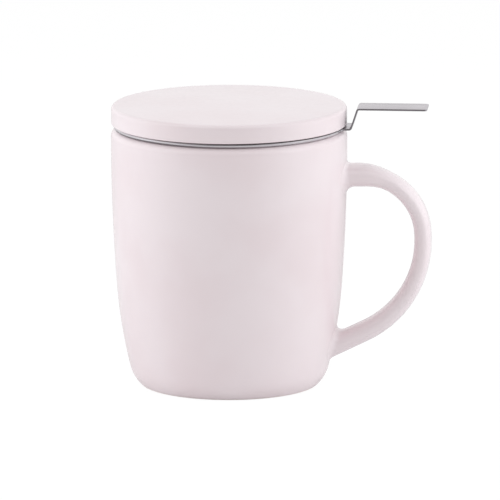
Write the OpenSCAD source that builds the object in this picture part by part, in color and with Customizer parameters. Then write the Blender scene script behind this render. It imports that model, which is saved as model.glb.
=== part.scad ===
// Lidded tea mug with a lift-out infuser.
// Millimetres, Z up. The origin is the middle of the foot, on the table, and +X points along the handle.
// The ceramic is thrown round Z: each ring of it is one outline, made of arcs, turned about the axis.
// The infuser hangs from the lip of the mug by its rolled rim, and the lid sits on that rim.

/* [Mug] */
// Outer diameter at its widest
mug_d = 86; // [80:1:96]
// Height from the foot to the lip
mug_h = 94.2; // [90:0.1:110]
// Thickness of the wall
mug_wall = 4.4; // [3.6:0.1:5.4]
// Thickness of the floor
mug_floor = 5.5; // [4:0.5:8]
// Height of the widest point
belly_z = 90; // [76:1:92]
// Radius of the upper wall's curve, seen from the side
belly_r = 760; // [440:20:1000]
// Height at which the wall starts to curve in faster
waist_z = 37.6; // [32:0.2:50]
// Radius of the lower wall's curve
lower_r = 182; // [172:2:300]
// Height at which the wall turns into the heel
heel_z = 6.6; // [5:0.1:8]
// Radius of the heel
heel_r = 13.4; // [11.6:0.2:15]
// Radius between the wall and the floor, inside
corner_r = 9; // [6:0.5:13]
// Radius of the lip's outer edge
lip_outer_r = 2.8; // [1.6:0.1:3]
// Width of the flat along the lip's crown
lip_land = 0.2; // [0.1:0.05:0.5]
// Width of the foot ring
foot_ring_w = 4; // [3:0.5:7]
// Depth of the recess inside the foot ring
foot_recess = 1.2; // [0.6:0.2:2.4]

/* [Handle] */
// Height of the top arm's centreline
arm_z = 77.6; // [72:0.1:82]
// Reach of the centreline from the widest part of the mug
handle_reach = 27.8; // [24:0.2:36]
// Radius of the upper bend
upper_bend_r = 22.2; // [19:0.2:24]
// Length of the straight between the two bends
grip_run = 2; // [0:0.2:6]
// Radius of the lower bend
lower_bend_r = 37.4; // [34:0.2:44]
// Angle that the lower bend turns through
lower_turn = 64; // [56:1:72]
// Width at the upper root
upper_root_w = 15; // [12:0.5:20]
// Thickness at the upper root
upper_root_t = 8; // [6:0.1:11]
// Width where the handle is slimmest
grip_w = 12.5; // [10:0.5:16]
// Thickness where the handle is slimmest
grip_t = 6.2; // [5:0.1:8]
// Width at the lower root
lower_root_w = 13.5; // [11:0.5:18]
// Thickness at the lower root
lower_root_t = 7.2; // [6:0.1:10]
// Squareness of the cross-section: 2 is an ellipse
squareness = 2.6; // [2:0.1:4]
// Radius of the clay worked in at the roots, on the handle's outer side
outer_fillet_r = 1.2; // [0.8:0.2:3]
// Radius of the clay worked in at the roots, on the side of the fingers
inner_fillet_r = 3.6; // [1.6:0.2:5]

/* [Infuser] */
// Thickness of the steel sheet
sheet = 0.5; // [0.3:0.05:0.6]
// Diameter of the rolled edge of the rim
bead_d = 1.7; // [1.6:0.1:2.6]
// How far the rolled edge stands back from the widest part of the mug
rim_inset = 1; // [0.5:0.1:2]
// Room between the lip of the mug and the rolled edge
seat_gap = 0.1; // [0.05:0.05:0.3]
// Depth of the collar below the top of the rim
collar_h = 8; // [5:0.5:12]
// Radius where the rim turns down into the collar
collar_bend_r = 1.5; // [1:0.1:2.5]
// Room between the basket and the mug's wall, at the bottom of the basket
side_gap = 2.4; // [1.6:0.2:6]
// Room between the basket and the mug's floor
floor_gap = 18; // [10:1:30]
// Height of the skirt of the basket's floor
skirt_h = 6; // [4:0.5:10]
// Radius where the floor turns up into the skirt
skirt_bend_r = 2.5; // [1.5:0.1:3.5]
// Diameter of the holes
hole_d = 2.4; // [1.6:0.1:2.8]
// Distance between holes in the wall
wall_pitch = 6.4; // [6:0.1:9]
// Distance between holes in the floor
floor_pitch = 6.2; // [4.6:0.1:8]
// Plain band between the wall's holes and the collar or skirt
plain_band = 3; // [2:0.5:6]

/* [Tab] */
// Thickness of the strip
tab_t = 0.6; // [0.5:0.05:0.9]
// Width of the strip
tab_w = 12.4; // [9:0.2:18]
// Width of the strip's root under the rim
tab_root_w = 21; // [19:0.5:26]
// Length of the root that lies under the rim
tab_root_run = 5; // [3:0.5:6]
// Radius between the root and the strip, seen from above
tab_fillet_r = 2.6; // [1.5:0.1:4]
// Distance from the rim's edge to the foot of the riser
riser_from = 2.1; // [1.5:0.1:6]
// Height that the strip rises
tab_rise = 7.5; // [5:0.1:12]
// Angle of the riser
riser_angle = 72; // [50:1:80]
// Inner radius of the two bends
tab_bend_r = 0.6; // [0.5:0.1:1.5]
// Distance from the rim's edge to the tip
tab_reach = 30.4; // [20:0.2:42]
// Radius of the corners of the tip
tip_corner_r = 1.2; // [1:0.2:4]
// Room round the root in the gap of the rolled edge
notch_gap = 0.4; // [0.2:0.1:1]

/* [Lid] */
// Thickness of the lid
lid_h = 6.7; // [5:0.1:12]
// How far the lid's edge stands back from the widest part of the mug
lid_inset = 0.1; // [0:0.1:2]
// Radius of the top edge
lid_edge_r = 1.4; // [1:0.1:3.5]
// Radius of the bottom edge
lid_low_r = 0.5; // [0.3:0.1:0.9]
// Depth of the locating ring under the lid
spigot_h = 5.5; // [3:0.5:8]
// Width of the locating ring
spigot_w = 3.6; // [2.8:0.1:6]
// Room between the locating ring and the basket
spigot_gap = 0.6; // [0.3:0.1:1.5]
// Radius of the locating ring's tip
spigot_tip_r = 1.2; // [0.5:0.1:1.3]
// Depth of the hollow inside the locating ring, above the seat
hollow_h = 1.8; // [1:0.1:2.2]
// Radius round the ceiling of the hollow
hollow_r = 2; // [1:0.1:4]

/* [Hidden] */

glaze = [0.93, 0.895, 0.91];
steel = [0.72, 0.71, 0.72];
// Steps in a turned outline's long arc, and in its small roundings
long_steps = 10;
round_steps = 8;
// Facets round the axis
turn_fn = 120;
hole_fn = 16;
// How far a cutter runs past what it cuts
over = 1;

// Points along an arc from angle a0 to a1. The end point is left to what follows it.
function arc(centre, radius, a0, a1, steps = round_steps) =
  [for (i = [0 : steps - 1]) let (a = a0 + (a1 - a0) * i / steps) centre + radius * [cos(a), sin(a)]];
// Radius, from the axis, of a circle's outer side at a height
function arc_r(centre, radius, z) = centre[0] + sqrt(radius ^ 2 - (z - centre[1]) ^ 2);
// Eases from a to b as x goes from 0 to 1, and holds them outside that
function ease(a, b, x) = let (t = min(max(x, 0), 1)) a + (b - a) * t * t * (3 - 2 * t);

// ---- Outline of the mug. Its three arcs run into each other, so each centre lies on the last one's radius.
belly_c = [mug_d / 2 - belly_r, belly_z];
waist_a = asin((belly_z - waist_z) / belly_r);
lower_c = belly_c + (belly_r - lower_r) * [cos(waist_a), -sin(waist_a)];
heel_a = asin((lower_c[1] - heel_z) / lower_r);
heel_c = lower_c + (lower_r - heel_r) * [cos(heel_a), -sin(heel_a)];
foot_a = asin(heel_c[1] / heel_r);
foot_r = heel_c[0] + heel_r * cos(foot_a);
foot_hollow_r = foot_r - foot_ring_w;

lip_inner_r = mug_wall - lip_land - lip_outer_r;
lip_outer_z = mug_h - lip_outer_r;
lip_inner_z = mug_h - lip_inner_r;
lip_outer_c = [arc_r(belly_c, belly_r, lip_outer_z) - lip_outer_r, lip_outer_z];
lip_inner_c = [arc_r(belly_c, belly_r - mug_wall, lip_inner_z) + lip_inner_r, lip_inner_z];

corner_z = mug_floor + corner_r;
corner_c = [arc_r(lower_c, lower_r - mug_wall - corner_r, corner_z), corner_z];
corner_a = asin((lower_c[1] - corner_z) / (lower_r - mug_wall - corner_r));

// Outer radius of the mug at any height below its lip
function mug_r(z) =
  z > waist_z ? arc_r(belly_c, belly_r, z)
  : z > heel_z ? arc_r(lower_c, lower_r, z)
  : arc_r(heel_c, heel_r, z);
// Which way the mug's outer surface faces at a height: [away from the axis, up]
function mug_facing(z) =
  let (p = [mug_r(z), z])
  z > waist_z ? (p - belly_c) / belly_r
  : z > heel_z ? (p - lower_c) / lower_r
  : (p - heel_c) / heel_r;
// Inner radius of the mug at a height between its corner and its lip
function bore_r(z) =
  z > waist_z ? arc_r(belly_c, belly_r - mug_wall, z)
  : arc_r(lower_c, lower_r - mug_wall, z);

outer_wall = concat(
  arc(heel_c, heel_r, -foot_a, -heel_a),
  arc(lower_c, lower_r, -heel_a, -waist_a, long_steps),
  arc(belly_c, belly_r, -waist_a, asin((lip_outer_z - belly_z) / belly_r), long_steps)
);
lip = concat(
  arc(lip_outer_c, lip_outer_r, 0, 90),
  [lip_outer_c + [0, lip_outer_r]],
  arc(lip_inner_c, lip_inner_r, 90, 180)
);
bore_belly_r = belly_r - mug_wall;
inner_wall = concat(
  arc(belly_c, bore_belly_r, asin((lip_inner_z - belly_z) / bore_belly_r), -waist_a, long_steps),
  arc(lower_c, lower_r - mug_wall, -waist_a, -corner_a, long_steps),
  arc(corner_c, corner_r, -corner_a, -90),
  [corner_c - [0, corner_r]]
);
foot = [
  [0, mug_floor],
  [0, foot_recess],
  [foot_hollow_r - foot_recess, foot_recess],
  [foot_hollow_r, 0]
];

module turned(outline) {
  rotate_extrude($fn = turn_fn) polygon(outline);
}

// The cup: bulged wall, round lip, foot ring
module mug_body() {
  color(glaze) turned(concat(outer_wall, lip, inner_wall, foot));
}

// ---- Handle. Its centreline is an arm, an upper bend, a straight, a lower bend and a tail to the wall.
handle_x = mug_d / 2 + handle_reach;
upper_c = [handle_x - upper_bend_r, arm_z - upper_bend_r];
lower_bend_c = [handle_x - lower_bend_r, upper_c[1] - grip_run];
tail_from = lower_bend_c + lower_bend_r * [cos(lower_turn), -sin(lower_turn)];
tail_dir = [-sin(lower_turn), -cos(lower_turn)];
// Length of the tail, found by stepping back and forth between the tail and the wall
function tail_to_wall(tries, run = 0) =
  tries == 0 ? run
  : tail_to_wall(tries - 1, (mug_r(tail_from[1] + run * tail_dir[1]) - tail_from[0]) / tail_dir[0]);

arm_len = upper_c[0] - mug_r(arm_z);
upper_len = upper_bend_r * PI / 2;
lower_len = lower_bend_r * lower_turn * PI / 180;
tail_len = tail_to_wall(8);
upper_end = arm_len + upper_len;
grip_end = upper_end + grip_run;
lower_end = grip_end + lower_len;
handle_len = lower_end + tail_len;
// [x, z, heading] at a distance along the centreline; heading 0 points along +X and 90 points down
function centreline(s) =
  s < arm_len ? [mug_r(arm_z) + s, arm_z, 0]
  : s < upper_end ? let (a = (s - arm_len) / upper_bend_r * 180 / PI)
    [upper_c[0] + upper_bend_r * sin(a), upper_c[1] + upper_bend_r * cos(a), a]
  : s < grip_end ? [handle_x, upper_c[1] - (s - upper_end), 90]
  : s < lower_end ? let (a = (s - grip_end) / lower_bend_r * 180 / PI)
    [lower_bend_c[0] + lower_bend_r * cos(a), lower_bend_c[1] - lower_bend_r * sin(a), 90 + a]
  : let (p = tail_from + (s - lower_end) * tail_dir) [p[0], p[1], 90 + lower_turn];

// The handle keeps its root size for a short way, is slim round the outer bend, and swells again to the tail.
// The three marks are shares of its length.
root_share = 0.05;
slim_share = 0.17;
swell_share = 0.3;
function along(s, upper, slim, lower) =
  let (u = s / handle_len)
  u < slim_share ? ease(upper, slim, (u - root_share) / (slim_share - root_share))
  : ease(slim, lower, (u - swell_share) / (1 - swell_share));
// A point of the handle's skin, at a distance along the centreline and an angle round it
section_steps = 24;
section_angles = [for (j = [0 : section_steps - 1]) 360 * j / section_steps];
function bulge(v) = sign(v) * abs(v) ^ (2 / squareness);
function up_of(heading) = [sin(heading), 0, cos(heading)];
function skin(s, a) =
  let (
    p = centreline(s),
    half_w = along(s, upper_root_w, grip_w, lower_root_w) / 2,
    half_t = along(s, upper_root_t, grip_t, lower_root_t) / 2
  )
  [p[0], half_w * bulge(cos(a)), p[1]] + half_t * bulge(sin(a)) * up_of(p[2]);
function outward(s, a) = [0, cos(a), 0] + sin(a) * up_of(centreline(s)[2]);

// How a point of the skin lies to the mug: which way the wall faces there, and the gap between them
function wall_facing(p) =
  let (wall = mug_facing(p[2]), from_axis = norm([p[0], p[1]]))
  [wall[0] * p[0] / from_axis, wall[0] * p[1] / from_axis, wall[1]];
function wall_gap(p) = (norm([p[0], p[1]]) - mug_r(p[2])) * mug_facing(p[2])[0];
// Distance along the centreline at which the skin has a certain gap, found by stepping towards it.
// The way is 1 at the lower root, where the centreline runs to the wall, and -1 at the upper root.
find_tries = 10;
function find_gap(a, gap, s, way, tries = find_tries) =
  tries == 0 ? s
  : find_gap(a, gap, s + way * (wall_gap(skin(s, a)) - gap), way, tries - 1);

// Clay worked in at a root, as [gap, spread over the wall] in shares of its radius. It turns through most of
// a quarter round, then runs on straight, so that it meets the wall at an angle that can be cut.
clay_turn = 70;
clay_steps = 7;
clay_run = 2 * (1 - sin(clay_turn)) / cos(clay_turn);
clay_arc = [for (i = [0 : clay_steps]) let (a = clay_turn * i / clay_steps) [1 - sin(a), 1 - cos(a)]];
clay_end = clay_arc[clay_steps] + clay_run * [-cos(clay_turn), sin(clay_turn)];
function clay_r(a) = outer_fillet_r + (inner_fillet_r - outer_fillet_r) * (1 - sin(a)) / 2;
// The part of a direction that lies in the wall's surface
function along_wall(dir, facing) = let (v = dir - (dir * facing) * facing) v / norm(v);

// A ring that keeps one share of the gap all the way round, then one that leads from it to a square ring,
// then a square ring, in the plane across the centreline
function root_ring(clay, from, way, depth = 0) =
  [for (a = section_angles)
    let (s = find_gap(a, clay[0] * clay_r(a) - depth, from, way), p = skin(s, a))
    p + clay[1] * clay_r(a) * along_wall(outward(s, a), wall_facing(p))];
function lead_ring(share, from, way) =
  [for (a = section_angles) skin(from + share * (find_gap(a, clay_r(a), from, way) - from), a)];
function square_ring(s) = [for (a = section_angles) skin(s, a)];

// Both roots run on into the wall by a depth, and are cut to its shape. The lower one meets it aslant, so its
// clay reaches further along the tail.
root_depth = 1;
aslant_share = 1.5;
upper_leads = 3;
lower_leads = 6;
span_rings = 26;
span_from = inner_fillet_r + 1;
span_to = handle_len - lower_root_t / 2 - aslant_share * inner_fillet_r;
handle_rings = concat(
  [root_ring(clay_end, span_from, -1, root_depth), root_ring(clay_end, span_from, -1)],
  [for (i = [clay_steps : -1 : 0]) root_ring(clay_arc[i], span_from, -1)],
  [for (i = [upper_leads : -1 : 1]) lead_ring(i / (upper_leads + 1), span_from, -1)],
  [for (i = [0 : span_rings]) square_ring(span_from + (span_to - span_from) * i / span_rings)],
  [for (i = [1 : lower_leads]) lead_ring(i / (lower_leads + 1), span_to, 1)],
  [for (i = [0 : clay_steps]) root_ring(clay_arc[i], span_to, 1)],
  [root_ring(clay_end, span_to, 1), root_ring(clay_end, span_to, 1, root_depth)]
);

module swept(rings) {
  n = len(rings[0]);
  last = len(rings) - 1;
  polyhedron(
    points = [for (ring = rings) each ring],
    faces = concat(
      [[for (j = [0 : n - 1]) j]],
      [for (i = [0 : last - 1]) for (j = [0 : n - 1])
        let (a = i * n + j, b = i * n + (j + 1) % n)
        [a, a + n, b + n, b]],
      [[for (j = [n - 1 : -1 : 0]) last * n + j]]
    )
  );
}

// The strap handle, cut at both roots to the outside of the mug
module mug_handle() {
  color(glaze)
  difference() {
    swept(handle_rings);
    turned(concat([[0, 0]], outer_wall, [[lip_outer_c[0] + lip_outer_r, lip_outer_z], [0, lip_outer_z]]));
  }
}

// ---- Infuser. The rolled edge rests on the lip, and everything else hangs from it.
bead_r = bead_d / 2;
rim_r = mug_d / 2 - rim_inset;
bead_c = [rim_r - bead_r, mug_h + seat_gap + bead_r];
rim_top = bead_c[1] + bead_r;
basket_low = mug_floor + floor_gap;
skirt_r = bore_r(basket_low) - side_gap;
basket_r = skirt_r - sheet;
collar_c = [basket_r + collar_bend_r, rim_top - collar_bend_r];
collar_low = rim_top - collar_h;
under_rim = rim_top - sheet;
// Where the tab's root starts, under the rim
tab_from = rim_r - tab_root_run;

// The rim: a collar that turns out into a flat flange, whose edge is rolled under
module infuser_rim() {
  color(steel)
  difference() {
    turned(concat(
      [[basket_r, collar_low]],
      arc(collar_c, collar_bend_r, 180, 90),
      [collar_c + [0, collar_bend_r]],
      arc(bead_c, bead_r, 90, -180, 2 * round_steps),
      [bead_c - [bead_r, 0]],
      arc(bead_c, bead_r - sheet, -180, 90, 2 * round_steps),
      [[bead_c[0], under_rim]],
      arc(collar_c, collar_bend_r - sheet, 90, 180),
      [[basket_r + sheet, collar_c[1]], [basket_r + sheet, collar_low]]
    ));
    // Gap in the rolled edge, where the root of the tab passes
    translate([tab_from - notch_gap, -tab_root_w / 2 - notch_gap, under_rim - bead_d - over])
      cube([rim_r - tab_from + notch_gap + over, tab_root_w + 2 * notch_gap, bead_d + over]);
  }
}

wall_low = basket_low + skirt_bend_r;
wall_top = rim_top - collar_bend_r;
holes_round = floor(2 * PI * basket_r / wall_pitch);
first_row_z = basket_low + skirt_h + plain_band;
row_rise = wall_pitch * sin(60);
hole_rows = floor((collar_low - plain_band - first_row_z) / row_rise) + 1;

// The wall of the basket: a tube with staggered rows of holes between two plain bands
module infuser_wall() {
  color(steel)
  difference() {
    translate([0, 0, wall_low]) cylinder(r = basket_r, h = wall_top - wall_low, $fn = turn_fn);
    translate([0, 0, wall_low - over])
      cylinder(r = basket_r - sheet, h = wall_top - wall_low + 2 * over, $fn = turn_fn);
    for (row = [0 : hole_rows - 1], i = [0 : holes_round - 1])
      rotate([0, 0, (i + (row % 2) / 2) * 360 / holes_round])
        translate([basket_r - sheet - over, 0, first_row_z + row * row_rise])
          rotate([0, 90, 0]) cylinder(d = hole_d, h = sheet + 2 * over, $fn = hole_fn);
  }
}

skirt_c = [skirt_r - skirt_bend_r, basket_low + skirt_bend_r];
hole_rings = floor((skirt_c[0] - plain_band / 2 - hole_d / 2) / floor_pitch);

// The floor of the basket: a shallow pressed cup whose skirt fits round the wall
module infuser_base() {
  color(steel)
  difference() {
    turned(concat(
      [[0, basket_low]],
      arc(skirt_c, skirt_bend_r, -90, 0),
      [[skirt_r, skirt_c[1]], [skirt_r, basket_low + skirt_h], [basket_r, basket_low + skirt_h]],
      arc(skirt_c, skirt_bend_r - sheet, 0, -90),
      [[skirt_c[0], basket_low + sheet], [0, basket_low + sheet]]
    ));
    for (ring = [0 : hole_rings], i = [0 : max(6 * ring, 1) - 1])
      rotate([0, 0, 360 * i / max(6 * ring, 1)])
        translate([ring * floor_pitch, 0, basket_low - over])
          cylinder(d = hole_d, h = sheet + 2 * over, $fn = hole_fn);
  }
}

// ---- Tab. The strip is bent as seen from the side, and cut out as seen from above.
tab_low = under_rim - tab_t;
tab_outer_r = tab_bend_r + tab_t;
riser_len = (tab_rise - (tab_bend_r + tab_outer_r) * (1 - cos(riser_angle))) / sin(riser_angle);
foot_bend_c = [rim_r + riser_from, under_rim + tab_bend_r];
top_bend_c = foot_bend_c
  + (tab_bend_r + tab_outer_r) * [sin(riser_angle), -cos(riser_angle)]
  + riser_len * [cos(riser_angle), sin(riser_angle)];
tab_top = top_bend_c[1] + tab_outer_r;
tab_tip = rim_r + tab_reach;

tab_side = concat(
  [[tab_from, tab_low]],
  arc(foot_bend_c, tab_outer_r, -90, riser_angle - 90),
  arc(top_bend_c, tab_bend_r, riser_angle + 90, 90),
  [[top_bend_c[0], tab_top - tab_t], [tab_tip, tab_top - tab_t], [tab_tip, tab_top]],
  arc(top_bend_c, tab_outer_r, 90, riser_angle + 90),
  arc(foot_bend_c, tab_bend_r, riser_angle - 90, -90),
  [[foot_bend_c[0], under_rim], [tab_from, under_rim]]
);

// One side of the cut-out: the root follows the rim, and a fillet leads it into the strip
tab_fillet_y = tab_w / 2 + tab_fillet_r;
tab_fillet_c = [sqrt((rim_r + tab_fillet_r) ^ 2 - tab_fillet_y ^ 2), tab_fillet_y];
tab_fillet_a = atan2(tab_fillet_c[1], tab_fillet_c[0]);
root_side_a = asin(tab_root_w / 2 / rim_r);
tip_c = [tab_tip - tip_corner_r, tab_w / 2 - tip_corner_r];
tab_half = concat(
  [[tab_from, tab_root_w / 2]],
  arc([0, 0], rim_r, root_side_a, tab_fillet_a, 4),
  arc(tab_fillet_c, tab_fillet_r, 180 + tab_fillet_a, 270),
  [[tab_fillet_c[0], tab_w / 2]],
  arc(tip_c, tip_corner_r, 90, 0),
  [[tab_tip, tip_c[1]]]
);
tab_plan = concat(tab_half, [for (i = [len(tab_half) - 1 : -1 : 0]) [tab_half[i][0], -tab_half[i][1]]]);

// The lifting tab: a bent strip, welded under the rim through the gap in its rolled edge
module infuser_tab() {
  color(steel)
  intersection() {
    translate([0, tab_root_w, 0]) rotate([90, 0, 0]) linear_extrude(2 * tab_root_w) polygon(tab_side);
    translate([0, 0, tab_low - over]) linear_extrude(tab_rise + tab_t + 2 * over) polygon(tab_plan);
  }
}

// ---- Lid. It sits on the rim, and its locating ring drops into the basket.
lid_r = mug_d / 2 - lid_inset;
lid_top = rim_top + lid_h;
spigot_r = basket_r - sheet - spigot_gap;
spigot_in_r = spigot_r - spigot_w;
spigot_low = rim_top - spigot_h;
ceiling_z = rim_top + hollow_h;

module lid() {
  color(glaze)
  turned(concat(
    [[0, lid_top]],
    arc([lid_r - lid_edge_r, lid_top - lid_edge_r], lid_edge_r, 90, 0),
    arc([lid_r - lid_low_r, rim_top + lid_low_r], lid_low_r, 0, -90),
    [[lid_r - lid_low_r, rim_top], [spigot_r, rim_top]],
    arc([spigot_r - spigot_tip_r, spigot_low + spigot_tip_r], spigot_tip_r, 0, -90),
    [[spigot_r - spigot_tip_r, spigot_low]],
    arc([spigot_in_r + spigot_tip_r, spigot_low + spigot_tip_r], spigot_tip_r, -90, -180),
    [[spigot_in_r, spigot_low + spigot_tip_r]],
    arc([spigot_in_r - hollow_r, ceiling_z - hollow_r], hollow_r, 0, 90),
    [[spigot_in_r - hollow_r, ceiling_z], [0, ceiling_z]]
  ));
}

mug_body();
mug_handle();
lid();
infuser_rim();
infuser_wall();
infuser_base();
infuser_tab();
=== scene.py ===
"""Looks of a lidded tea mug with an infuser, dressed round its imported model. Metres, Z up."""

import math

import bpy
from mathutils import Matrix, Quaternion, Vector
from mathutils.geometry import delaunay_2d_cdt


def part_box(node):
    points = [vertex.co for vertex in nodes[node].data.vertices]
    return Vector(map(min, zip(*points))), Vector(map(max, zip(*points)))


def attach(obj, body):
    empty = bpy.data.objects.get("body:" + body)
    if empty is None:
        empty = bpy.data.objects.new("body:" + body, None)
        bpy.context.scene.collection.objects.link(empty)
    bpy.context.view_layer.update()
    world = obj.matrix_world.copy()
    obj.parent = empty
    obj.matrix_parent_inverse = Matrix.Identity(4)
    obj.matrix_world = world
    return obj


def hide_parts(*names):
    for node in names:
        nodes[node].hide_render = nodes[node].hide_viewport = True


MM = 0.001
# Points of a mesh that lie closer than this are one point
SAME_POINT = 0.001 * MM

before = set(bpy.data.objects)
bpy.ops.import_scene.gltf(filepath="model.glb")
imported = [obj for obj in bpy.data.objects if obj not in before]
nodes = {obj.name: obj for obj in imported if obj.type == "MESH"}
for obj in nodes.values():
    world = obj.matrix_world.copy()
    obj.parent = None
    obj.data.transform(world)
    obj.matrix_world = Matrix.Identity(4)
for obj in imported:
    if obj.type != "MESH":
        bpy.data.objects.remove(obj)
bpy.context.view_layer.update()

# ---- Sizes that scene.py repeats from the construction, because the frame gives only boxes
SHEET = 0.5 * MM
SKIRT_BEND_R = 2.5 * MM
BEAD_R = 0.85 * MM

# ---- Camera: the photograph's own view
PHOTO_PX = 500
# Column of the mug's axis in the photograph, and the height on that axis that its middle row shows
AXIS_COLUMN = 229.33
MIDDLE_ROW_Z = 48.87 * MM
PX_PER_M = 2741.0
CAM_DISTANCE = 2.75
CAM_AZIMUTH = math.radians(5.0)
CAM_ELEVATION = math.radians(11.3)
CAM_ROLL = math.radians(-0.08)
SENSOR_MM = 36


def direction(azimuth, elevation):
    """Unit vector from the object towards a viewpoint. Azimuth 0 is in front, on -Y."""
    flat = math.cos(elevation)
    return Vector((math.sin(azimuth) * flat, -math.cos(azimuth) * flat, math.sin(elevation)))


def add_camera():
    back = direction(CAM_AZIMUTH, CAM_ELEVATION)
    level = (-back).to_track_quat("-Z", "Y")
    right = level @ Vector((1, 0, 0))
    aim = Vector((0, 0, MIDDLE_ROW_Z)) + right * (PHOTO_PX / 2 - AXIS_COLUMN) / PX_PER_M
    data = bpy.data.cameras.new("camera")
    data.sensor_width = SENSOR_MM
    data.lens = SENSOR_MM * CAM_DISTANCE / (PHOTO_PX / PX_PER_M)
    camera = bpy.data.objects.new("camera", data)
    camera.location = aim + back * CAM_DISTANCE
    camera.rotation_mode = "QUATERNION"
    camera.rotation_quaternion = level @ Quaternion((0, 0, 1), CAM_ROLL)
    bpy.context.scene.collection.objects.link(camera)
    bpy.context.scene.camera = camera


# ---- Shader nodes
class Tree:
    """A node tree that is written as nested calls: each adds a node and returns an output of it."""

    def __init__(self, node_tree):
        self.tree = node_tree
        self.nodes = node_tree.nodes
        self.nodes.clear()

    def add(self, kind, inputs=None, out=0, **settings):
        node = self.nodes.new(kind)
        for key, value in settings.items():
            setattr(node, key, value)
        for key, value in (inputs or {}).items():
            if isinstance(value, bpy.types.NodeSocket):
                self.tree.links.new(value, node.inputs[key])
            else:
                node.inputs[key].default_value = value
        return node.outputs[out] if node.outputs else None

    def math(self, operation, a, b=0.0):
        return self.add("ShaderNodeMath", {0: a, 1: b}, operation=operation)

    def spread(self, value, low, high, to_low=0.0, to_high=1.0):
        """Value from low to high, mapped smoothly to to_low and to_high, and held beyond them."""
        inputs = {"Value": value, 1: low, 2: high, 3: to_low, 4: to_high}
        return self.add("ShaderNodeMapRange", inputs, interpolation_type="SMOOTHSTEP")

    def blend(self, share, a, b):
        """A number between a and b."""
        return self.add("ShaderNodeMix", {0: share, 2: a, 3: b})

    def mix(self, share, a, b):
        """A colour between a and b."""
        return self.add("ShaderNodeMix", {0: share, 6: a, 7: b}, out=2, data_type="RGBA")

    def noise(self, place, scale, detail=2.0, roughness=0.5):
        inputs = {"Vector": place, "Scale": scale, "Detail": detail, "Roughness": roughness}
        return self.add("ShaderNodeTexNoise", inputs)

    def place(self):
        """The place on the piece, in the piece's own coordinates."""
        return self.add("ShaderNodeTexCoord", out="Object")

    def axis(self, place, name):
        """One coordinate of a place: X, Y or Z."""
        return self.add("ShaderNodeSeparateXYZ", {0: place}, out=name)

    def stretch(self, place, factors):
        return self.add("ShaderNodeVectorMath", {0: place, 1: factors}, operation="MULTIPLY")

    def from_axis(self, place):
        """Distance of a place from the mug's axis."""
        flat = self.stretch(place, (1, 1, 0))
        return self.add("ShaderNodeVectorMath", {0: flat}, out="Value", operation="LENGTH")

    def bump(self, height, distance, normal=None):
        inputs = {"Height": height, "Distance": distance, "Strength": 1.0}
        if normal:
            inputs["Normal"] = normal
        return self.add("ShaderNodeBump", inputs)


def new_material(name):
    material = bpy.data.materials.new(name)
    material.use_nodes = True
    return material, Tree(material.node_tree)


def srgb(red, green, blue):
    """Linear RGBA of a colour written as 0 to 255."""
    def linear(value):
        share = value / 255
        return share / 12.92 if share <= 0.04045 else ((share + 0.055) / 1.055) ** 2.4

    return (linear(red), linear(green), linear(blue), 1.0)


# ---- Ceramic. Scales of noise are in cells per metre.
GLAZE = srgb(237, 222, 225), srgb(240, 227, 230)
# The handle is toned a little paler than the mug, to follow the photograph. That paler tone is
# painted light: it stands in for fill light on the handle's shaded inner and lower sides.
GLAZE_WITH_PAINTED_FILL_LIGHT = srgb(240, 226, 229), srgb(243, 231, 234)
BISCUIT = srgb(226, 214, 206), srgb(240, 227, 230)
SATIN_ROUGH = 0.20, 0.23
BISCUIT_ROUGH = 0.9
# The foot, and the tip of the lid's locating ring, are bare below these heights
MUG_BARE_Z = 0.3 * MM
LID_BARE_Z = 90.9 * MM
BARE_FADE = 0.3 * MM
BARE_RAGGED = 900
CLOUDS = 28
GRAIN = 420
GRAIN_RELIEF = 0.004 * MM
TURNING = 6, 6, 420
TURNING_RELIEF = 0.01 * MM
SAND = 2600
SAND_RELIEF = 0.05 * MM
# The part of a noise's range that is spread over a look's own range. Beyond it the look is held.
NOISE_WIDE = 0.3, 0.7
NOISE_NARROW = 0.35, 0.65


def ceramic(name, glazes, bare_z=None):
    """Satin glaze between two colours. Below bare_z, if it is given, the body is left bare."""
    material, tree = new_material(name)
    place = tree.place()
    clouds = tree.noise(place, CLOUDS, detail=3)
    grain = tree.noise(place, GRAIN, detail=4, roughness=0.6)
    turning = tree.noise(tree.stretch(place, TURNING), 1, detail=2)
    colour = tree.mix(tree.spread(clouds, *NOISE_NARROW), *glazes)
    rough = tree.spread(grain, *NOISE_WIDE, *SATIN_ROUGH)
    relief = tree.bump(turning, TURNING_RELIEF)
    relief = tree.bump(grain, GRAIN_RELIEF, relief)
    if bare_z is not None:
        ragged = tree.math("MULTIPLY", tree.noise(place, BARE_RAGGED), BARE_FADE)
        height = tree.math("ADD", tree.axis(place, "Z"), ragged)
        bare = tree.spread(height, bare_z, bare_z + BARE_FADE, 1, 0)
        sand = tree.noise(place, SAND, detail=2)
        colour = tree.mix(bare, colour, tree.mix(tree.spread(sand, *NOISE_WIDE), *BISCUIT))
        rough = tree.blend(bare, rough, BISCUIT_ROUGH)
        relief = tree.bump(tree.math("MULTIPLY", sand, bare), SAND_RELIEF, relief)
    shader = tree.add("ShaderNodeBsdfPrincipled", {
        "Base Color": colour,
        "Roughness": rough,
        "Normal": relief,
    })
    tree.add("ShaderNodeOutputMaterial", {0: shader})
    return material


# ---- Steel
STEEL_BRIGHT = srgb(220, 215, 219), srgb(228, 224, 228)
STEEL_PALE = srgb(199, 194, 198), srgb(208, 204, 208)
STEEL_DULL = srgb(186, 181, 186), srgb(194, 189, 194)
# Dark tone of the rim: painted shade in its gaps under the lid and at the mug's lip, and its weld
# prints
STEEL_SHADE_AND_WELD_TONE = srgb(96, 89, 92)
SHEARED = srgb(140, 134, 138)
# An edge is toned from the first to the second sideways part of the direction that it faces
SHEARED_FACING = 0.5, 0.9
STEEL_ROUGH = 0.26, 0.34
# A guess: the perforated sheet is partly diffuse, so that the basket's inside isn't near black
PERFORATED_METAL = 0.8
SMEARS = 60
BRUSHED = 3600
BRUSHED_RELIEF = 0.002 * MM
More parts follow.
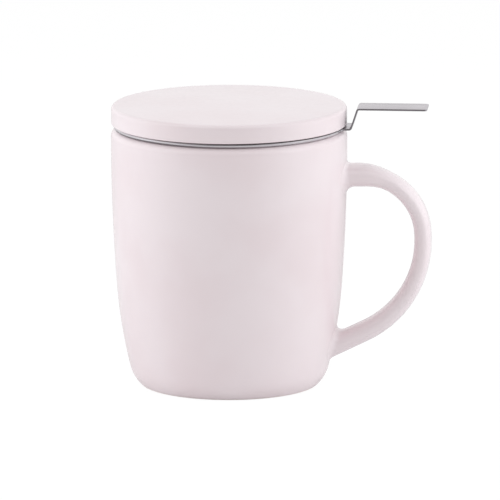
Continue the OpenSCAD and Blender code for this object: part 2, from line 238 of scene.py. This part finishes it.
# How far the brush lines of a turned piece wander, and how the strip's are drawn out along it
ROUND_DRIFT = 0.02, 0.02, 0
ALONG_STRIP = 0.01, 1, 0.4


def brushed_steel(name, colours, grain, marks_and_shade=None, metal=1.0):
    """Brushed stainless steel, between two colours.

    grain is "round" for a turned piece and "along" for the strip. The marks argument takes the tree
    and a place, and returns a share and the colour that it stands for. On the rim that colour is
    painted shade in its gaps, as well as weld prints.
    """
    material, tree = new_material(name)
    place = tree.place()
    if grain == "round":
        inputs = {"X": tree.from_axis(place), "Z": tree.axis(place, "Z")}
        lines = tree.add("ShaderNodeCombineXYZ", inputs)
        drift = tree.stretch(place, ROUND_DRIFT)
        lines = tree.add("ShaderNodeVectorMath", {0: lines, 1: drift}, operation="ADD")
    else:
        lines = tree.stretch(place, ALONG_STRIP)
    brushed = tree.noise(lines, BRUSHED, detail=3, roughness=0.6)
    smears = tree.noise(place, SMEARS, detail=3)
    colour = tree.mix(tree.spread(smears, *NOISE_NARROW), *colours)
    if marks_and_shade:
        share, overlay_tone = marks_and_shade(tree, place)
        colour = tree.mix(share, colour, overlay_tone)
    shader = tree.add("ShaderNodeBsdfPrincipled", {
        "Base Color": colour,
        "Metallic": metal,
        "Roughness": tree.spread(brushed, *NOISE_WIDE, *STEEL_ROUGH),
        "Normal": tree.bump(brushed, BRUSHED_RELIEF),
    })
    tree.add("ShaderNodeOutputMaterial", {0: shader})
    return material


# Where the painted shade lines start and end over the rolled edge's lowest point, in radii of the
# roll
LINE_ABOVE = 1.15, 1.5
LINE_BELOW = 0.5, 0.95
# They are on the outer side only, which starts this far outside the middle of the roll, in radii
LINE_OUTSIDE = 0.2, 0.5
# The upper line grows along X and the lower one fades: from where to where, and from which share
# to which
LINE_ABOVE_ALONG = -45 * MM, 10 * MM, 0.1, 1
LINE_BELOW_ALONG = -45 * MM, 45 * MM, 0.95, 0.1
# A guess: the tab's two weld spots lie past the start of its root, and off its middle line
WELD_IN = 2.2 * MM
WELD_OFF = 5.5 * MM
WELD_R = 1.1 * MM
# Where a print darkens towards its edge and where it has faded out, in its radii, and its shares
WELD_DARKENS = 0.5, 0.95
WELD_FADED = 1.3
WELD_SHARES = 0.25, 0.7


def painted_shade_lines(tree, place):
    """Share of the painted shade lines on the rolled edge: painted shadow in the gap under the lid,
    and in the gap down at the mug's lip.

    They are a tone set by place, which follows the thin dark lines in the photograph. What
    makes those uneven there isn't known. The model's own gaps are even all the way round.
    """
    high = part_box("infuser_rim")[1]
    roll_low = high[2] - 2 * BEAD_R
    roll_r = high[1] - BEAD_R
    height = tree.axis(place, "Z")
    along = tree.axis(place, "X")
    above = tree.spread(height, *(roll_low + part * BEAD_R for part in LINE_ABOVE))
    above = tree.math("MULTIPLY", above, tree.spread(along, *LINE_ABOVE_ALONG))
    below = tree.spread(height, *(roll_low + part * BEAD_R for part in LINE_BELOW), 1, 0)
    below = tree.math("MULTIPLY", below, tree.spread(along, *LINE_BELOW_ALONG))
    outside = (roll_r + part * BEAD_R for part in LINE_OUTSIDE)
    outer = tree.spread(tree.from_axis(place), *outside)
    return tree.math("MULTIPLY", tree.math("MAXIMUM", above, below), outer)


def weld_prints(tree, place):
    """Share of the prints that the tab's weld spots leave on the flange, darkest at their edges."""
    spot = (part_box("infuser_tab")[0][0] + WELD_IN, WELD_OFF, 0)
    sideways = tree.math("ABSOLUTE", tree.axis(place, "Y"))
    away = tree.add("ShaderNodeCombineXYZ", {"X": tree.axis(place, "X"), "Y": sideways})
    away = tree.add("ShaderNodeVectorMath", {0: away, 1: spot}, out="Value", operation="DISTANCE")
    tone = tree.spread(away, *(part * WELD_R for part in WELD_DARKENS), *WELD_SHARES)
    return tree.math("MULTIPLY", tone, tree.spread(away, WELD_R, WELD_FADED * WELD_R, 1, 0))


# Painted shade lines of the rim, together with its weld prints
def rim_shade_and_weld_prints(tree, place):
    return tree.math("MAXIMUM", painted_shade_lines(tree, place), weld_prints(tree, place)), STEEL_SHADE_AND_WELD_TONE


def sheared_edges(tree, place):
    """The strip's cut edges are darker than its rolled faces."""
    facing = tree.add("ShaderNodeTexCoord", out="Normal")
    sideways = tree.math("ABSOLUTE", tree.axis(facing, "Y"))
    return tree.spread(sideways, *SHEARED_FACING), SHEARED


# ---- Skin of the construction's own pieces
SMOOTH_BELOW = math.radians(30)
STRIP_BREAK = 0.08 * MM
STRIP_BREAK_STEPS = 3
STRIP_BREAK_ABOVE = math.radians(40)


def smooth_skin():
    """Geometry nodes that weld a tessellated piece and shade it smooth, apart from real edges."""
    group = bpy.data.node_groups.new("smooth_skin", "GeometryNodeTree")
    for in_out in ("INPUT", "OUTPUT"):
        group.interface.new_socket("Geometry", in_out=in_out, socket_type="NodeSocketGeometry")
    tree = Tree(group)
    skin = tree.add("NodeGroupInput")
    skin = tree.add("GeometryNodeRemoveAttribute", {0: skin, "Name": "custom_normal"})
    skin = tree.add("GeometryNodeMergeByDistance", {0: skin, "Distance": SAME_POINT})
    inputs = {0: skin, "Shade Smooth": True}
    skin = tree.add("GeometryNodeSetShadeSmooth", inputs, domain="FACE")
    angle = tree.add("GeometryNodeInputMeshEdgeAngle")
    inputs = {0: angle, 1: SMOOTH_BELOW}
    hard = tree.add("FunctionNodeCompare", inputs, operation="GREATER_THAN")
    inputs = {0: skin, "Selection": hard, "Shade Smooth": False}
    skin = tree.add("GeometryNodeSetShadeSmooth", inputs, domain="EDGE")
    tree.add("NodeGroupOutput", {0: skin})
    return group


def dress(node, material, skin):
    piece = nodes[node]
    piece.data.materials.clear()
    piece.data.materials.append(material)
    piece.modifiers.new("skin", "NODES").node_group = skin


def strip_edges(piece):
    """Breaks the sharp edges of the strip, under its skin."""
    piece.modifiers.new("weld", "WELD").merge_threshold = SAME_POINT
    bevel = piece.modifiers.new("edges", "BEVEL")
    bevel.width = STRIP_BREAK
    bevel.segments = STRIP_BREAK_STEPS
    bevel.angle_limit = STRIP_BREAK_ABOVE
    piece.modifiers.move(piece.modifiers.find("skin"), len(piece.modifiers) - 1)


# ---- The basket's fine perforation. Each piece is one skin, thickened inwards to the sheet.
HOLE_D = 1.2 * MM
HOLE_PITCH = 2.4 * MM
HOLE_SIDES = 12
ROW_RISE = HOLE_PITCH * math.sin(math.radians(60))
# Plain metal between the wall's holes and the collar or skirt. Half of it edges the floor's holes.
PLAIN_BAND = 3 * MM
# Columns without holes at the wall's seam, which is at the back
SEAM_COLUMNS = 2
SEAM_ANGLE = math.radians(90)
# Steps round the basket's floor, and in the bend of its skirt
FLOOR_STEPS = 120
BEND_STEPS = 6
# How close the floor's triangulation takes points to be one, and how far from a step, as a share
# of one, a point of the floor's edge still belongs to it
FLOOR_EPSILON = 1e-7
NEAR_STEP = 0.01


def add_piece(name, mesh, material, skin, stands_for):
    piece = bpy.data.objects.new(name, mesh)
    bpy.context.scene.collection.objects.link(piece)
    mesh.materials.append(material)
    thick = piece.modifiers.new("sheet", "SOLIDIFY")
    thick.thickness = SHEET
    thick.offset = -1
    piece.modifiers.new("skin", "NODES").node_group = skin
    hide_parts(stands_for)
    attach(piece, "infuser")


class Skin:
    """Points and faces of a mesh, in which a point is made once for each key."""

    def __init__(self):
        self.index = {}
        self.points = []
        self.faces = []

    def point(self, key, place):
        if key not in self.index:
            self.index[key] = len(self.points)
            self.points.append(place)
        return self.index[key]

    def mesh(self, name):
        mesh = bpy.data.meshes.new(name)
        mesh.from_pydata(self.points, [], self.faces)
        mesh.validate()
        return mesh


def on_circle(radius, share):
    """Point of a circle, at a share of a turn from 3 o'clock."""
    turn = 2 * math.pi * share
    return Vector((radius * math.cos(turn), radius * math.sin(turn)))


# A hole's cell in the wall is a hexagon. Its corners and the middles of its sides, in quarters of
# a pitch across and sixths of a row up, start at 3 o'clock and run anticlockwise.
CELL = [
    (2, 0), (2, 2), (1, 3), (0, 4), (-1, 3), (-2, 2),
    (-2, 0), (-2, -2), (-1, -3), (0, -4), (1, -3), (2, -2),
]
# How far the outline of the first and last rows' cells lies from the middle of the row, in sixths
# of a row, at each quarter of a pitch from the middle of a cell
CELL_OUTLINE = 4, 3, 2, 3


def perforated_wall():
    low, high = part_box("infuser_wall")
    radius = high[1]
    holes_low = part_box("infuser_base")[1][2] + PLAIN_BAND
    holes_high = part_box("infuser_rim")[0][2] - PLAIN_BAND
    columns = round(2 * math.pi * radius / HOLE_PITCH)
    steps = 4 * columns
    rows = int((holes_high - holes_low) / ROW_RISE) + 1
    first_z = (holes_low + holes_high - (rows - 1) * ROW_RISE) / 2
    skin = Skin()

    def on_wall(across, up):
        angle = SEAM_ANGLE + across * 2 * math.pi / steps
        return (radius * math.cos(angle), radius * math.sin(angle), up)

    def corner(across, sixths):
        place = on_wall(across, first_z + sixths * ROW_RISE / 6)
        return skin.point((across % steps, sixths), place)

    for row in range(rows):
        for column in range(columns):
            middle = 4 * column + 2 * (row % 2)
            outer = [corner(middle + dx, 6 * row + dy) for dx, dy in CELL]
            if column < SEAM_COLUMNS:
                skin.faces.append(outer)
                continue
            inner = []
            for i in range(HOLE_SIDES):
                across, up = on_circle(HOLE_D / 2, i / HOLE_SIDES)
                place = on_wall(middle + across / (HOLE_PITCH / 4), first_z + row * ROW_RISE + up)
                inner.append(skin.point((row, column, i), place))
            for i in range(HOLE_SIDES):
                j = (i + 1) % HOLE_SIDES
                skin.faces.append((outer[i], outer[j], inner[j], inner[i]))

    for step in range(steps):
        for edge_row, edge_z, side in ((0, low[2], -1), (rows - 1, high[2], 1)):
            pair = step, step + 1
            from_middle = [(across - 2 * (edge_row % 2)) % 4 for across in pair]
            sixths = [6 * edge_row + side * CELL_OUTLINE[i] for i in from_middle]
            cells = [corner(across, up) for across, up in zip(pair, sixths)]
            ring = [(across % steps, "end", side) for across in pair]
            ends = [skin.point(key, on_wall(key[0], edge_z)) for key in ring]
            face = (cells[0], cells[1], ends[1], ends[0])
            skin.faces.append(face if side > 0 else face[::-1])
    return skin.mesh("basket_wall")


def perforated_floor():
    low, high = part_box("infuser_base")
    radius = high[1]
    flat_r = radius - SKIRT_BEND_R
    places = [on_circle(flat_r, i / FLOOR_STEPS) for i in range(FLOOR_STEPS)]
    loops = [list(range(FLOOR_STEPS))]
    span = int(flat_r / ROW_RISE) + 1
    for row in range(-span, span + 1):
        for column in range(-span, span + 1):
            middle = Vector(((column + (row % 2) / 2) * HOLE_PITCH, row * ROW_RISE))
            if middle.length > flat_r - PLAIN_BAND / 2:
                continue
            loops.append(list(range(len(places), len(places) + HOLE_SIDES)))
            places += [middle + on_circle(HOLE_D / 2, i / HOLE_SIDES) for i in range(HOLE_SIDES)]
    points, _, faces, _, _, inside = delaunay_2d_cdt(places, [], loops, 0, FLOOR_EPSILON)
    skin = Skin()
    for point in points:
        skin.point(len(skin.points), (point.x, point.y, low[2]))
    # A face that is only inside the first loop is metal. The rest are holes.
    skin.faces = [face[::-1] for face, within in zip(faces, inside) if list(within) == [0]]

    # The skirt: the bend, then straight up
    profile = []
    for i in range(BEND_STEPS + 1):
        angle = math.radians(-90 + 90 * i / BEND_STEPS)
        out, up = SKIRT_BEND_R * math.cos(angle), SKIRT_BEND_R * (1 + math.sin(angle))
        profile.append((flat_r + out, low[2] + up))
    profile.append((radius, high[2]))
    rim = {}
    for index, (x, y, _) in enumerate(skin.points):
        step = math.atan2(y, x) / (2 * math.pi) * FLOOR_STEPS
        if abs(math.hypot(x, y) - flat_r) < SAME_POINT and abs(step - round(step)) < NEAR_STEP:
            rim[round(step) % FLOOR_STEPS] = index

    def ring_point(level, step):
        step %= FLOOR_STEPS
        if level == 0:
            return rim[step]
        r, z = profile[level]
        return skin.point((level, step, "skirt"), (*on_circle(r, step / FLOOR_STEPS), z))

    for level in range(len(profile) - 1):
        for step in range(FLOOR_STEPS):
            skin.faces.append((
                ring_point(level, step), ring_point(level, step + 1),
                ring_point(level + 1, step + 1), ring_point(level + 1, step),
            ))
    return skin.mesh("basket_floor")


# ---- Stage. The floor is a light table: it glows a little, and more of its white shows to the
# camera than lights the object.
FLOOR_HALF = 4.0
FLOOR_COLOUR = 0.8, 0.8, 0.8, 1
FLOOR_LEVEL = 1.07
FLOOR_GLOW = 0.09
FLOOR_WHITE = 0.85
WHITE = 1, 1, 1, 1


def add_floor():
    corners = [(x * FLOOR_HALF, y * FLOOR_HALF, 0) for x, y in ((-1, -1), (1, -1), (1, 1), (-1, 1))]
    mesh = bpy.data.meshes.new("floor")
    mesh.from_pydata(corners, [], [(0, 1, 2, 3)])
    floor = bpy.data.objects.new("floor", mesh)
    bpy.context.scene.collection.objects.link(floor)
    material, tree = new_material("floor_white")
    seen = tree.add("ShaderNodeLightPath", out="Is Camera Ray")
    lit = tree.add("ShaderNodeBsdfDiffuse", {"Color": FLOOR_COLOUR})
    white = tree.add("ShaderNodeEmission", {"Color": WHITE, "Strength": FLOOR_LEVEL})
    share = tree.spread(seen, 0, 1, FLOOR_GLOW, FLOOR_WHITE)
    shader = tree.add("ShaderNodeMixShader", {0: share, 1: lit, 2: white})
    tree.add("ShaderNodeOutputMaterial", {0: shader})
    mesh.materials.append(material)


# The room is white all round, apart from a darker stretch behind the camera, which the steel
# reflects. For the light that it gives, its ceiling is dimmer than its walls.
ROOM_LEVEL = 0.94
CEILING_DROP = 0.45
DARK_AZIMUTH = math.radians(5)
DARK_ELEVATION = math.radians(0)
# The stretch is about this many times as wide as high. It starts at the first angle from its
# middle, and is fully dark within the second.
DARK_SQUASH = 2.0
DARK_EDGES = math.cos(math.radians(75)), math.cos(math.radians(25))
# What is left of the room's level in it, as light and in a mirror
DARK_LEFT_LIGHT = 0.64
DARK_LEFT_MIRRORED = 0.06


def light_world():
    world = bpy.data.worlds.new("studio")
    world.use_nodes = True
    bpy.context.scene.world = world
    tree = Tree(world.node_tree)
    path = tree.add("ShaderNodeLightPath").node.outputs
    mirrored = tree.math("MAXIMUM", path["Is Glossy Ray"], path["Is Transmission Ray"])
    towards = tree.add("ShaderNodeTexCoord", out="Generated")
    squashed = tree.stretch(towards, (1, 1, DARK_SQUASH))
    squashed = tree.add("ShaderNodeVectorMath", {0: squashed}, operation="NORMALIZE")
    inputs = {0: squashed, 1: direction(DARK_AZIMUTH, DARK_ELEVATION)}
    facing = tree.add("ShaderNodeVectorMath", inputs, out="Value", operation="DOT_PRODUCT")
    walls = tree.spread(facing, *DARK_EDGES, ROOM_LEVEL, ROOM_LEVEL * DARK_LEFT_LIGHT)
    ceiling = tree.spread(tree.axis(towards, "Z"), 0, 1, 1, 1 - CEILING_DROP)
    mirror = tree.spread(facing, *DARK_EDGES, 1, DARK_LEFT_MIRRORED)
    level = tree.blend(mirrored, tree.math("MULTIPLY", walls, ceiling), mirror)
    level = tree.blend(path["Is Camera Ray"], level, 1.0)
    sky = tree.add("ShaderNodeBackground", {"Color": WHITE, "Strength": level})
    tree.add("ShaderNodeOutputWorld", {0: sky})


# Two square soft boxes. At level 1 one alone would show a colour that faces it as it is written.
LAMP_AZIMUTHS = {"soft_box_left": math.radians(-80), "soft_box_right": math.radians(84)}
LAMP_ELEVATION = math.radians(26)
LAMP_DISTANCE = 0.85
LAMP_SIZE = 0.75
LAMP_LEVEL = 0.5
LAMP_COLOUR = 0.93, 0.985, 1.0


def add_lamp(name, azimuth):
    """A soft box. Gloss shows the white room in its place."""
    data = bpy.data.lights.new(name, "AREA")
    data.size = LAMP_SIZE
    data.energy = LAMP_LEVEL * (math.pi * LAMP_DISTANCE) ** 2
    data.color = LAMP_COLOUR
    lamp = bpy.data.objects.new(name, data)
    towards = direction(azimuth, LAMP_ELEVATION)
    lamp.location = Vector((0, 0, MIDDLE_ROW_Z)) + towards * LAMP_DISTANCE
    lamp.rotation_mode = "QUATERNION"
    lamp.rotation_quaternion = (-towards).to_track_quat("-Z", "Y")
    lamp.visible_glossy = False
    bpy.context.scene.collection.objects.link(lamp)


add_camera()
light_world()
for lamp_name, lamp_azimuth in LAMP_AZIMUTHS.items():
    add_lamp(lamp_name, lamp_azimuth)
add_floor()

skin = smooth_skin()
dress("mug_body", ceramic("satin_glaze_mug", GLAZE, MUG_BARE_Z), skin)
dress("mug_handle", ceramic("satin_glaze_handle", GLAZE_WITH_PAINTED_FILL_LIGHT), skin)
dress("lid", ceramic("satin_glaze_lid", GLAZE, LID_BARE_Z), skin)
dress("infuser_rim", brushed_steel("steel_rim", STEEL_BRIGHT, "round", rim_shade_and_weld_prints), skin)
dress("infuser_tab", brushed_steel("steel_tab", STEEL_DULL, "along", sheared_edges), skin)
strip_edges(nodes["infuser_tab"])
perforated = brushed_steel("steel_perforated", STEEL_PALE, "round", metal=PERFORATED_METAL)
add_piece("basket_wall", perforated_wall(), perforated, skin, "infuser_wall")
add_piece("basket_floor", perforated_floor(), perforated, skin, "infuser_base")

bpy.context.scene.view_settings.view_transform = "Standard"
